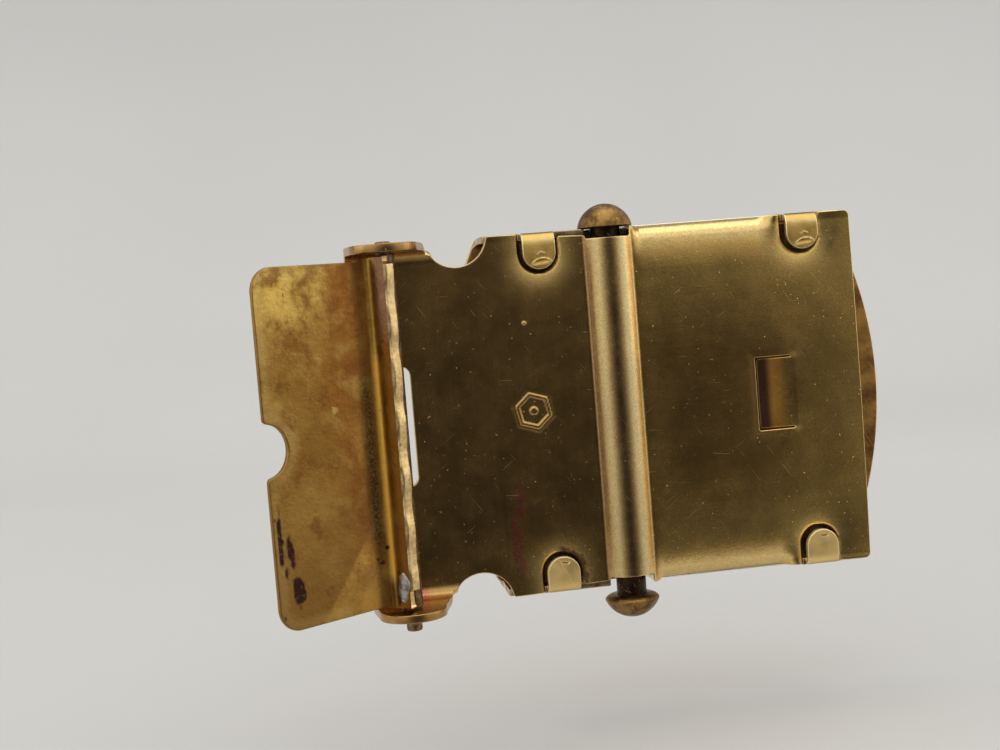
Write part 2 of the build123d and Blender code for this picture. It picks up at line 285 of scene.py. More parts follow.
def pocket_d(u, v):
    """Signed distance to the nearest tab pocket's outline."""
    best = np.full(np.shape(u), 9.0)
    a = np.abs(v)
    half = TAB_W / 2 + POCKET_ROOM
    centre = TAB_TIP - 0.42 + half
    for x in TABS:
        shifted = u - x + 0.06
        d = np.where(a < centre, np.hypot(shifted, a - centre) - half, np.abs(shifted) - half)
        best = np.minimum(best, d)
    return best


def mark_height(u, v):
    """A plain six-sided ring with a dot, raised in a shallow strike."""
    x, z = u - MARK[0], v - MARK[1]
    sides = [radians(a) for a in (12, 72, 132)]
    hexagon = np.max([np.abs(x * cos(a) + z * sin(a)) for a in sides], axis=0)
    ring = 1 - smooth(np.abs(hexagon - MARK_R), 0.10, 0.24)
    dot = 1 - smooth(np.hypot(x, z), 0.30, 0.46)
    worn = 0.75 + 0.25 * hash_noise(u, v, 0.9, 11)
    strike = 1 - smooth(hexagon, 1.75, 2.1)
    return (MARK_RISE * np.maximum(ring, dot) * worn) - 0.04 * strike


def dot_d(u, v):
    """Distance to the middle of the small raised dot."""
    return np.hypot(u - DOT[0], v - DOT[1])


def height(u, v):
    """Relief of the plate's outer face, towards the wearer."""
    h = crown(u)
    pocket = pocket_d(u, v)
    dish = DISH_DEPTH * np.exp(-np.maximum(pocket, 0) / DISH_FADE)
    h = h - POCKET_DEPTH * smooth(-pocket, -0.05, 0.30) - dish
    ease = np.clip(np.abs(v) - EASE_START, 0, EASE_END - EASE_START)
    h = h - roll(u) * (0.034 * ease ** 2 + 0.23 * np.maximum(np.abs(v) - EASE_END, 0))
    tang = np.maximum(np.abs(v) - TANG[2], np.maximum(TANG[0] - u, u - TANG[1] - 0.35))
    press = TANG_PRESS * np.clip((TANG[1] + 0.3 - u) / (TANG[1] + 0.3 - TANG[0]), 0, 1)
    h = h - np.where(tang < 0, press, 0)
    near = (1 - smooth(tang, 0.0, 0.9)) * smooth(TANG[1] - u, 0.2, 1.8)
    h = h - np.where(tang >= 0, 0.04 * near, 0)
    h = h + DOT_RISE * (1 - smooth(dot_d(u, v), 0.08, 0.26))
    h = h + mark_height(u, v)
    flat = smooth(u, BODY_LEFT - 4, BODY_LEFT)
    h = h + flat * (0.030 * hash_noise(u, v, 7.0, 3) + 0.008 * hash_noise(u, v, 2.6, 4))
    side = 0.35 + 0.65 * smooth(u, 2.4, 9.0)
    sag = 0.0011 * v ** 2 + 0.0009 * np.maximum(u - 9, 0) ** 2
    return h - flat * side * sag * (1 - smooth(np.abs(v), 17.2, 17.9) * 0.2)


def frame_face(u, v, depth):
    """The frame's sheet at a depth below its outer face, bent into ears and shoulders."""
    a, side = np.abs(v), np.sign(v)
    y = np.full(u.shape, BACK) - height(u, v) + depth
    z = a.copy()
    ear = (u < NOTCH[0]) & (a > EAR_SPAN - EAR_BEND)
    s = a - (EAR_SPAN - EAR_BEND)
    r = EAR_BEND + depth
    theta = np.clip(s / EAR_BEND, 0, pi / 2)
    past = np.maximum(s - EAR_BEND * pi / 2, 0)
    ear_z = EAR_SPAN - EAR_BEND + r * np.sin(theta)
    ear_y = BACK - EAR_BEND + r * np.cos(theta) - past
    z = np.where(ear, ear_z, z)
    y = np.where(ear, ear_y, y)
    w = np.maximum(roll(u), 1e-3)
    start = HALF - SHOULDER_R
    rolled = (u > 0) & (a > start)
    s = a - start
    big = SHOULDER_R / w
    theta = np.minimum(s / big, w * pi / 2)
    past = np.maximum(s - SHOULDER_R * pi / 2, 0)
    rr = big - depth
    roll_z = start + rr * np.sin(theta) + past * np.cos(theta)
    roll_y = BACK + big - rr * np.cos(theta) + past * np.sin(theta)
    z = np.where(rolled, roll_z, z)
    y = np.where(rolled, roll_y - height(u, v), y)
    return np.stack([u, y, side * z], -1)


def frame_outline(u, v):
    p = frame_face(np.asarray(u, float), np.asarray(v, float), 0.0)
    x, y, z = p[..., 0], p[..., 1], np.abs(p[..., 2])
    drop = y - BACK
    body = np.maximum(x - RIGHT, np.where(x > NOTCH[0], z - HALF - 0.006, -5))
    corner = np.hypot(np.maximum(x - RIGHT + CORNER_R, 0), np.maximum(z - HALF + CORNER_R, 0)) - CORNER_R
    body = np.maximum(body, np.where((x > RIGHT - CORNER_R) & (z > HALF - CORNER_R), corner, -5))
    body = np.maximum(body, ARM_LEFT - x)
    body = np.maximum(body, np.where(x > 0, drop - SHOULDER_DROP, -5))
    d = np.maximum(body, NOTCH[2] - np.hypot(x - NOTCH[0], z - NOTCH[1]))
    d = np.maximum(d, -rect_d(x, z, WINDOW[0], WINDOW[1], -WINDOW[2], WINDOW[2], WINDOW[3]))
    d = np.maximum(d, -rect_d(x, z, -KNOB_NOTCH, KNOB_NOTCH, HALF - 0.95, 30, CUT_R))
    left, right = TABS[0] - TAB_W / 2 - 0.3, TABS[1] - TAB_W / 2 - 0.3
    trim = np.interp(x, (left, -KNOB_NOTCH, right, 24.4), (HALF - 0.25, HALF - 0.6, HALF + 0.2, HALF + 0.2))
    cut_back = ((x > left) & (x < -KNOB_NOTCH)) | ((x > right) & (x < 24.4))
    d = np.where(cut_back, np.maximum(d, z - trim), d)
    for x0 in (left, right):
        d = np.maximum(d, -rect_d(x, z, x0, x0 + TAB_W + 0.6, WALL - FACE - 0.3, 30, CUT_R))
    inner = np.maximum(np.abs(z) - TANG[2] + 0.16, TANG[0] + 0.25 - x)
    outer = rect_d(x, z, TANG[0], TANG[1], -TANG[2], TANG[2], 0.12)
    d = np.maximum(d, -np.maximum(outer, -inner))
    # the ears: a round end with tangent sides
    hx, hy = hinge[0], hinge[1]
    root_y = BACK - EAR_BEND
    lug = np.hypot(x - hx, y - hy) - EAR_R
    t = np.clip((root_y - y) / (root_y - hy), 0, 1)
    right_edge = EAR_ROOT[1] * (1 - t) + (hx + EAR_R) * t
    left_edge = EAR_ROOT[0] * (1 - t) + (hx - EAR_R) * t
    strip = np.maximum(left_edge - x, x - right_edge)
    strip = np.maximum(strip, hy - y)
    lug = np.minimum(lug, strip)
    lug = np.where(y > root_y + 0.01, -5, lug)
    d = np.where(x < NOTCH[0], np.maximum(d, lug), d)
    neck = x - EAR_ROOT[1] - 0.5 * np.clip((y - root_y) / EAR_BEND, 0, 1)
    d = np.where((x < NOTCH[0]) & (z > EAR_SPAN - 0.5), np.maximum(d, neck), d)
    hole = PIN_HOLE - np.hypot(x - hx, y - hy)
    d = np.where((x < NOTCH[0]) & (y < root_y), np.maximum(d, hole), d)
    return d


frame_us = lines(
    (ARM_LEFT - 0.3, BODY_LEFT, 0.22), (BODY_LEFT, -10.8, 0.2), (-10.8, -6.6, 0.09), (-6.6, -3.6, 0.2),
    (-3.6, 3.6, 0.12), (3.6, 13.6, 0.28), (13.6, 18.6, 0.14), (18.6, RIGHT + 0.3, 0.2),
)
half_vs = lines(
    (0, 2.6, 0.09), (2.6, 3.4, 0.2), (3.4, 4.0, 0.12), (4.0, 8.8, 0.28), (8.8, 9.5, 0.08),
    (9.5, 12.4, 0.28), (12.4, 18.6, 0.15), (18.6, 24.8, 0.2),
)
frame_vs = np.concatenate([-half_vs[:0:-1], half_vs])
verts, faces, uv, edges = sheet_mesh(
    frame_us, frame_vs, frame_outline,
    lambda u, v: frame_face(u, v, 0.0), lambda u, v: frame_face(u, v, SHEET), RIM_R,
)
fu, fv = uv[:, 0], uv[:, 1]
fa = np.abs(fv)
pd = pocket_d(fu, fv)
start = HALF - SHOULDER_R
marked = np.clip(mark_height(fu, fv) / MARK_RISE, 0, 1)
stained = 1 - smooth(pd + 0.25 * hash_noise(fu, fv, 0.5, 61), 0.35, 0.75)
reach = smooth(fa, 6.0, 15.0) * 0.9 + smooth(fu, 15.0, 24.0) * 0.5 + (1 - smooth(fu, 2.6, 6.5)) * 0.4
frame_masks = {
    "edge": edges,
    "crease": bell(np.abs(fu), 2.55, 0.12) * (fa < 17.6),
    "rib": 1 - smooth(np.abs(fu), 2.3, 2.6),
    "rib_painted_shade": bell(fu, -0.05, 0.62) + 0.8 * bell(fu, -2.25, 0.38),
    "rib_painted_light": bell(fu, 1.25, 0.42) + 0.7 * bell(fu, -1.35, 0.4),
    "pocket": smooth(-pd, -0.02, 0.16),
    "glow": bell(np.maximum(pd, 0), 0.4, 1.2),
    "left": 1 - smooth(fu, -3.0, -2.0),
    "tang": np.where(
        (fa < TANG[2]) & (fu > TANG[0]) & (fu < TANG[1] + 2),
        1 - smooth(fu, TANG[0] + 0.2, TANG[1] + 0.6), 0,
    ),
    "grime": stained * smooth(fu, -7.9, -6.7) * (fu < -3.0) * (fv < 0),
    "rust": spots(fu, fv, [
        (-11.5, -11.7, 0.75, 2.4, 0.0), (-10.8, -15.1, 0.65, 1.5, 0.0), (-10.7, -8.3, 0.5, 1.9, 0.0),
    ], 0.5),
    "bright": marked + (1 - smooth(dot_d(fu, fv), 0.14, 0.28)),
    "ear": np.where(fu < NOTCH[0], smooth(fa, EAR_SPAN - 0.2, EAR_SPAN + 0.8), 0.0),
    "smudge": bell(fu, 23.0, 1.1) * bell(fa, 15.2, 1.7) * np.where(fv > 0, 1.0, 0.35),
    "tips": bell(fu, TANG[1] + 0.25, 0.45) * bell(fa, TANG[2], 0.3),
    "rimglow": smooth(fu, 2.6, 4.0) * np.clip(reach, 0, 1),
    "middle": smooth(fu, 3.0, 6.0) * (1 - smooth(fu, 11.0, 20.0)) * (1 - smooth(fa, 4.0, 13.0)),
    "crest": roll(fu) * smooth(fa, start + 0.75, start + 1.5),
    "pink": bell(fu, -21.3, 0.8) * bell(fv, -16.6, 0.7),
    "shine": roll(fu) * smooth(fa, start - 1.6, start + 0.3),
}
frame_obj = mesh_object("frame_stamping", verts, faces, "frame", ["back_frame"], frame_masks)


# ---- face plate with walls and tabs
BEND = 1.0
WALL_RUN = (FRONT - BEND) - (face_low[1] + BEND)
MARKS_V = np.cumsum([WALL - BEND, BEND * pi / 2, WALL_RUN, BEND * pi / 2])

# the tabs' fold, as a way whose turn eases to a right angle
TURN_T = np.linspace(0, 8, 801)
TURN = pi / 2 * (1 - np.exp(-TURN_T ** 1.45))
TURN_Y, TURN_Z = -np.cumsum(np.cos(TURN)) * 0.01, -np.cumsum(np.sin(TURN)) * 0.01
TURN_SIZE = -BEND / TURN_Y[-1]


def face_path(a, depth):
    """(y, z) of the face plate's section: front, bend, wall, fold, tab."""
    m0, m1, m2 = MARKS_V[:3]
    r = BEND - depth
    t1 = np.clip((a - m0) / BEND, 0, pi / 2)
    run = np.clip(a - m1, 0, WALL_RUN)
    t = np.maximum(a - m2, 0) / TURN_SIZE
    turn = np.interp(t, TURN_T, TURN) * (t > 0)
    out, down = (np.interp(t, TURN_T, way - way[0]) * TURN_SIZE for way in (TURN_Y, TURN_Z))
    z = np.minimum(a, m0) + r * np.sin(t1) + down + depth * (1 - np.cos(turn))
    y = FRONT - depth - r * (1 - np.cos(t1)) - run + out + depth * np.sin(turn)
    return y, z


def nick_marks(u, z, upper):
    """Crescent nick near each tab's tip: its lip, the scoop behind it and a small caret beyond; the lip and
    caret carry a painted highlight and the scoop a painted shadow.
    """
    arc, scoop, caret = np.zeros(np.shape(u)), np.zeros(np.shape(u)), np.zeros(np.shape(u))
    for x in TABS:
        small = np.where(upper, 1.0, 0.55)
        du = (u - x - 0.15) / small
        dz = (z - TAB_TIP - 0.42) / small - 0.12 * du
        away = np.hypot(du / 0.95, dz / 0.62)
        top = smooth(dz, -0.05, 0.12)
        arc = np.maximum(arc, bell(away, 1, 0.11) * top)
        scoop = np.maximum(scoop, (1 - smooth(away, 0.86, 0.98)) * smooth(dz, 0.0, 0.5))
        peak = np.abs(dz - 1.25 + 0.55 * np.abs(du))
        caret = np.maximum(caret, bell(peak, 0, 0.09) * (np.abs(du) < 0.42) * upper)
    return arc, scoop, caret


def face_surface(u, v, depth):
    a, side = np.abs(v), np.sign(v)
    y, z = face_path(a, depth)
    m3 = MARKS_V[3]
    arc, scoop, caret = nick_marks(u, z, v > 0)
    y = np.where(a > m3 - 1.3, y + 0.13 * scoop - 0.05 * arc - 0.04 * caret, y)
    y = np.where(a < MARKS_V[0] + 0.5, y + 0.03 * hash_noise(u, v, 5.0, 21), y)
    return np.stack([u, y, side * z], -1)


def rim_level(x):
    """Where the walls stop, along x."""
    rim, high, low = BACK + SHEET, BACK + 0.05, BACK + SHOULDER_DROP + 0.05
    tab_left = TABS[0] - TAB_W / 2 - 0.25
    tab_right = TABS[1] - TAB_W / 2 - 0.25
    level = np.full(np.shape(x), rim)
    level = np.where((x > tab_left) & (x < -KNOB_NOTCH), high, level)
    level = np.where((x > 3.05) & (x < 17.55), low, level)
    level = np.where((x > tab_right) & (x < tab_right + TAB_W + 0.5), high, level)
    return np.where(np.abs(x) < KNOB_NOTCH, bar[1] + KNOB_NOTCH, level)


def face_outline(u, v):
    u, v = np.asarray(u, float), np.asarray(v, float)
    a = np.abs(v)
    y, z = face_path(a, 0.0)
    left, right, bulge = -12.5, 24.75, 4.35
    big = (WALL ** 2 + bulge ** 2) / (2 * bulge)
    ends = np.maximum(
        np.hypot(u - (right + bulge - big), z) - big, np.hypot(u - (left - bulge + big), z) - big
    )
    wall = np.where(a > MARKS_V[1] - 0.3, rim_level(u) - y, -5)
    wall = np.where(a > MARKS_V[2] + 0.05, 5, wall)
    strip = np.full(u.shape, 9.0)
    for x in TABS:
        side = np.abs(u - x) - TAB_W / 2
        tip = np.hypot(u - x, z - (TAB_TIP + TAB_W / 2)) - TAB_W / 2
        strip = np.minimum(strip, np.where((a > MARKS_V[3]) & (z < TAB_TIP + TAB_W / 2), tip, side))
    return np.maximum(ends, np.minimum(wall, strip))


face_us = lines(
    (face_low[0] - 0.3, -9.0, 0.35), (-9.0, -5.0, 0.08), (-5.0, 3.6, 0.2), (3.6, 18.0, 0.5),
    (18.0, 22.0, 0.08), (22.0, face_high[0] + 0.3, 0.25),
)
m0, m1, m2, m3 = MARKS_V
half_vs = lines((0, m0 - 1, 0.4), (m0 - 1, m1, 0.15), (m1, m2, 0.22), (m2, m3 + 3.6, 0.08))
face_vs = np.concatenate([-half_vs[:0:-1], half_vs])
verts, faces, uv, edges = sheet_mesh(
    face_us, face_vs, face_outline,
    lambda u, v: face_surface(u, v, 0.0), lambda u, v: face_surface(u, v, FACE), 0.1,
)
fa = np.abs(uv[:, 1])
fz = face_path(fa, 0.0)[1]
off_tab = np.min([np.abs(uv[:, 0] - x) for x in TABS], axis=0) - TAB_W / 2
arc, scoop, caret = nick_marks(uv[:, 0], fz, uv[:, 1] > 0)
on_tab = smooth(fa, m2, m2 + 0.8)
upper_tab = uv[:, 1] > 0
sheet_count = int(np.sum(edges < 0.5)) // 2
outer = np.arange(len(fa)) < sheet_count
panel = 1 - smooth(fa, m1 - 0.4, m1 + 0.4)
slit = (fa > m1 + 0.5) & (off_tab > 0.03) & ((uv[:, 0] < -KNOB_NOTCH) | ((off_tab < 0.8) & (uv[:, 0] > 0)))
face_masks = {
    "edge": edges,
    "tab": on_tab,
    "inside": np.where(outer, 0.0, panel),
    "front": np.where(outer, panel, 0.0),
    "slit": slit,
    "fold": smooth(fa, m1 + 0.5, m2 - 0.6) * (1 - smooth(fa, m2 + 0.3, m2 + 1.05)),
    "band": bell(fa, m2 + 1.35, 0.34) * np.where(upper_tab, 1.0, 0.35),
    "low_tab": on_tab * ~upper_tab,
    "nick": scoop * on_tab,
    "lines": np.maximum(arc, caret) * on_tab,
}
face_obj = mesh_object("face_shell", verts, [f[::-1] for f in faces], "frame", ["face_plate"], face_masks)


# ---- clamp lever
OPEN = radians(36.0)
ALONG = np.array([-cos(OPEN), -sin(OPEN), 0.0])
INWARD = np.array([sin(OPEN), -cos(OPEN), 0.0])
LEN = 15.0
INNER = -0.18
HOOK_R = 1.9
CREVICE = 0.5
SWEEP = radians(50)
HOOK_N = INNER + CREVICE
PITCH = 4.85
TOOTH = 0.20
LIP = (-14.9, 15.9)
FLAT_RUN = LEN - HOOK_R - CREVICE
HOOK_START = FLAT_RUN + CREVICE * pi / 2
LIP_END = HOOK_START + HOOK_R * SWEEP
TIP_N = HOOK_N + HOOK_R * sin(SWEEP)
TIP_S = HOOK_R * cos(SWEEP)
HOOK_PROUD = 0.38
FLAP_CORNER = 2.2
THUMB_R = 2.42
THUMB_Z = 0.1
THUMB_BLEND = 0.35
HEEL_R = 1.0
SEAT_R = 1.01


def lever_point(s, n, z):
    """The point s along the flap from the hinge, n toward the belt and z up."""
    across = np.multiply.outer(s, ALONG) + np.multiply.outer(n, INWARD)
    return hinge + across + np.multiply.outer(z, [0, 0, 1.0])


def lip_dip(z):
    """How far the lip is cut back: waves between the teeth, and lower ends."""
    middle = (LIP[0] + LIP[1]) / 2
    wave = (1 - np.cos(2 * pi * (z - middle) / PITCH)) / 2
    ends = 1 - smooth(z, LIP[0] - 0.3, LIP[0]) * (1 - smooth(z, LIP[1], LIP[1] + 0.3))
    worn = 0.05 * hash_noise(z, z * 0, 1.3, 41)
    return TOOTH * wave * (1 - ends) + worn + 0.75 * ends


def lever_front(t, z):
    """The side that grips: flap, crevice, hook."""
    flat = np.minimum(t, FLAT_RUN)
    a = np.clip((t - FLAT_RUN) / CREVICE, 0, pi / 2)
    b = np.clip((t - HOOK_START) / HOOK_R, 0, SWEEP + 0.3)
    s = LEN - flat - CREVICE * np.sin(a)
    n = INNER + CREVICE * (1 - np.cos(a))
    s = np.where(t > HOOK_START, HOOK_R * np.cos(b), s)
    n = np.where(t > HOOK_START, HOOK_N + HOOK_R * np.sin(b), n)
    dent = 0.05 * hash_noise(t, z, 4.5, 31) + 0.02 * hash_noise(t, z, 1.7, 32)
    dent = dent * smooth(FLAT_RUN - t, 0.2, 2.0)
    n = n + dent - lip_dip(z) * smooth(t, LIP_END - 0.36, LIP_END - 0.05)
    return lever_point(s, n, z)


def lever_back(t, z):
    """The far side: flap, heel, seat on the pin, inside of the lip."""
    n = INNER - LEVER * (0.5 + 0.5 * smooth(t, 0.5, 6.0))
    k = np.clip((t - FLAT_RUN) / (LIP_END - FLAT_RUN), 0, 1)
    seat_a = radians(-40)
    s_flat = LEN - FLAT_RUN
    s1, n1 = HEEL_R * cos(seat_a), HEEL_R * sin(seat_a)
    s2, n2 = TIP_S - LEVER, sqrt(max(1.02 - (TIP_S - LEVER) ** 2, 0))
    leg0 = np.clip(k / 0.35, 0, 1)
    leg1 = np.clip((k - 0.35) / 0.35, 0, 1)
    leg2 = np.clip((k - 0.70) / 0.30, 0, 1)
    ang = seat_a + (atan2(n2, s2) - seat_a) * leg1
    ks = np.where(k < 0.35, s_flat + (s1 - s_flat) * leg0, SEAT_R * np.cos(ang))
    kn = np.where(k < 0.35, (INNER - LEVER) + (n1 - INNER + LEVER) * leg0 ** 2, SEAT_R * np.sin(ang))
    ks = np.where(k > 0.70, s2, ks)
    kn = np.where(k > 0.70, n2 + (TIP_N - n2 - lip_dip(z)) * leg2, kn)
    s = np.where(t < FLAT_RUN, LEN - t, ks)
    n = np.where(t < FLAT_RUN, n, kn)
    return lever_point(s, n, z)


def lever_outline(t, z):
    t, z = np.asarray(t, float), np.asarray(z, float)
    half = lever_high[2]
    flap = rect_d(t, z, 0, 60, -half, half, FLAP_CORNER)
    proud = HOOK_PROUD * smooth(t, FLAT_RUN - 0.9, FLAT_RUN + 0.1)
    flap = np.where(t > 4, np.abs(z) - half - proud, flap)
    d = np.maximum(flap, t - LIP_END)
    thumb = THUMB_R - np.hypot(t, z - THUMB_Z)
    k = THUMB_BLEND
    h = np.clip(0.5 + 0.5 * (thumb - d) / k, 0, 1)
    return d + (thumb - d) * h + k * h * (1 - h)


lever_ts = lines(
    (-0.3, 3.2, 0.15), (3.2, FLAT_RUN - 0.6, 0.3), (FLAT_RUN - 0.6, LIP_END - 0.8, 0.1),
    (LIP_END - 0.8, LIP_END + 0.2, 0.05),
)
lever_zs = lines((lever_low[2] - 0.3, lever_high[2] + 0.3, 0.14))
verts, faces, uv, edges = sheet_mesh(lever_ts, lever_zs, lever_outline, lever_front, lever_back, 0.1)
lt, lz = uv[:, 0], uv[:, 1]
on_flap = 1 - smooth(lt, FLAT_RUN - 1.5, FLAT_RUN)
STAINS = [
    (0.66, -7.9, 0.30, 3.1, 0.02), (1.60, -8.9, 0.42, 1.6, -0.12), (2.20, -12.9, 0.75, 1.5, 0.0),
    (1.05, -10.9, 0.25, 0.6, 0.0), (FLAT_RUN, -10.7, 0.28, 0.28, 0.0), (0.5, -14.9, 0.12, 0.2, 0.0),
    (FLAT_RUN - 0.7, -12.0, 0.3, 0.25, 0.0), (FLAT_RUN - 1.1, -11.6, 0.16, 0.2, 0.0),
]
lever_masks = {
    "edge": edges * (lt < FLAT_RUN),
    "crevice": bell(lt, FLAT_RUN - 0.85, 0.70)
    * (0.35 + 0.65 * smooth(lz, -12.5, -8.5) * (1 - smooth(lz, 3.5, 6.5))),
    "stripe": bell(lt, FLAT_RUN + 0.45, 0.36) * (1 - 0.8 * smooth(lz, 6.0, 10.0))
    * smooth(lz, -15.0, -13.0),
    "hook": smooth(lt, HOOK_START + 0.1, HOOK_START + 0.9),
    "lip": smooth(lt, LIP_END - 0.42, LIP_END - 0.2),
    "pinkish": smooth(lz, 7.0, 13.0) * smooth(lt, HOOK_START, HOOK_START + 0.5),
    "stain": spots(lt, lz, STAINS),
    "ring": spots(lt, lz, [(5.7, -13.5, 0.55, 0.6, 0.3)]) - spots(lt, lz, [(5.75, -13.5, 0.25, 0.3, 0.0)]),
    "dot": spots(lt, lz, [(7.8, 2.9, 0.36, 0.36, 0.0)], 0.0),
    "wedge": smooth(lt - 7.0 - 0.82 * (lz + 13.3), -0.1, 0.4) * smooth(-lz, 7.5, 9.5)
    * (1 - smooth(lt, FLAT_RUN - 1.6, FLAT_RUN - 0.9)),
    "low": smooth(-lz, 1.0, 13.0) * on_flap,
    "rim_light": bell(lever_outline(lt, lz), -0.5, 0.5) * (lt < 8),
    "bright_end": smooth(lz, 8.0, 15.0) * (1 - smooth(lt, 6.0, 11.0)),
    "burnt": smooth(lt, 5.5, 10.5) * (1 - smooth(lt, FLAT_RUN - 0.2, FLAT_RUN + 0.4)),
}
lever_obj = mesh_object("lever_stamping", verts, faces, "lever", ["clamp_lever"], lever_masks)


# ---- round pieces
def lathe(name, profile, centre, body, nodes, segments=72):
    """A piece of revolution about Z: profile is a list of (radius, z)."""
    verts, faces = [], []
    rings = []
    for radius, z in profile:
        if radius < 1e-6:
            rings.append([len(verts)])
            verts.append((centre[0], centre[1], z))
            continue
        ring = []
        for k in range(segments):
            a = 2 * pi * k / segments
            ring.append(len(verts))
            verts.append((centre[0] + radius * cos(a), centre[1] + radius * sin(a), z))
        rings.append(ring)
    for low, high in zip(rings, rings[1:]):
        for k in range(segments):
            n = (k + 1) % segments
            if len(low) == 1:
                faces.append((low[0], high[n], high[k]))
            elif len(high) == 1:
                faces.append((low[k], low[n], high[0]))
            else:
                faces.append((low[k], low[n], high[n], high[k]))
    return mesh_object(name, verts, faces, body, nodes)


ROOT_R = 1.5


def knob_profile(low, high, up):
    """A domed head: flat underneath on the upper knob, rounded there on the lower one."""
    radius = (high[0] - low[0]) / 2
    tall = high[2] - low[2]
    under = 0.10 if up else 0.55
    dome = tall - under
    big = (radius ** 2 + dome ** 2) / (2 * dome)
    out = [(ROOT_R - 0.02, 0.0)]
    for k in range(1, 9):
        a = pi / 2 * k / 8
        out.append((ROOT_R + (radius - ROOT_R) * sin(a), under * (1 - cos(a))))
    swing = atan2(radius, big - dome)
    for k in range(1, 26):
        a = swing * (1 - k / 26)
        out.append((big * sin(a), tall - big + big * cos(a)))
    out.append((0, tall))
    if up:
        return [(r, low[2] + z) for r, z in out]
    return [(r, high[2] - z) for r, z in out][::-1]


upper = lathe("knob_head_upper", knob_profile(cap_low, cap_high, True), bar, "bar", ["knob_upper"])
lower = lathe("knob_head_lower", knob_profile(foot_low, foot_high, False), bar, "bar", ["knob_lower"])

thick = (bar_high[0] - bar_low[0]) / 2
step, bevel = 16.8, 0.1
neck_low, neck_high = foot_high[2] - 0.1, cap_low[2] + 0.1
bar_profile = [
    (0, neck_low), (ROOT_R, neck_low), (ROOT_R, -step - bevel), (thick - bevel, -step),
    (thick, -step + bevel), (thick, 0), (thick, step - bevel), (thick - bevel, step),
    (ROOT_R, step + bevel), (ROOT_R, neck_high), (0, neck_high),
]
bar_obj = lathe("roller_bar", bar_profile, bar, "bar", ["lock_bar"])

pin_r, end_r = (pin_high[0] - pin_low[0]) / 2, 0.75
step, bevel = EAR_SPAN - 0.15, 0.08
low, high = pin_low[2], pin_high[2]
pin_profile = [
    (0, low), (end_r - 0.18, low), (end_r - 0.05, low + 0.05), (end_r, low + 0.18), (end_r, -step),
    (pin_r - bevel, -step), (pin_r, -step + bevel), (pin_r, 0), (pin_r, step - bevel), (pin_r - bevel, step),
    (end_r, step), (end_r, high - 0.15), (end_r - 0.05, high - 0.05), (end_r - 0.18, high), (0, high),
]
pin_obj = lathe("pivot_pin", pin_profile, hinge, "lever", ["hinge_pin"])


def solder_run():
    """A puddle of solder that follows the hook's round."""
    z_mid = (bead_low[2] + bead_high[2]) / 2
    rows, cols = 30, 22
    verts, faces = [], []
    for i in range(rows + 1):
        for j in range(cols + 1):
            p, q = 2 * i / rows - 1, 2 * j / cols - 1
            pr = sqrt(max(1 - q * q / 2, 0)) * p
            qr = sqrt(max(1 - p * p / 2, 0)) * q
            z = z_mid + 1.45 * pr + 0.10 * sin(5 * qr)
            angle = radians(20 + 19 * qr + 3 * sin(4 * pr))
            edge = max(0.0, 1 - (pr * pr + qr * qr))
            lift = HOOK_R - 0.03 + 0.17 * edge ** 0.45 + 0.02 * sin(9 * pr + 5 * qr) * edge
            s, n = lift * cos(angle), HOOK_N + lift * sin(angle)
            verts.append(hinge + s * ALONG + n * INWARD + np.array([0, 0, z]))
    for i in range(rows):
        for j in range(cols):
            a = i * (cols + 1) + j
            faces.append((a, a + 1, a + cols + 2, a + cols + 1))
    return mesh_object("solder_patch", verts, faces, "lever", ["solder_bead"], sharp=80)


solder_obj = solder_run()


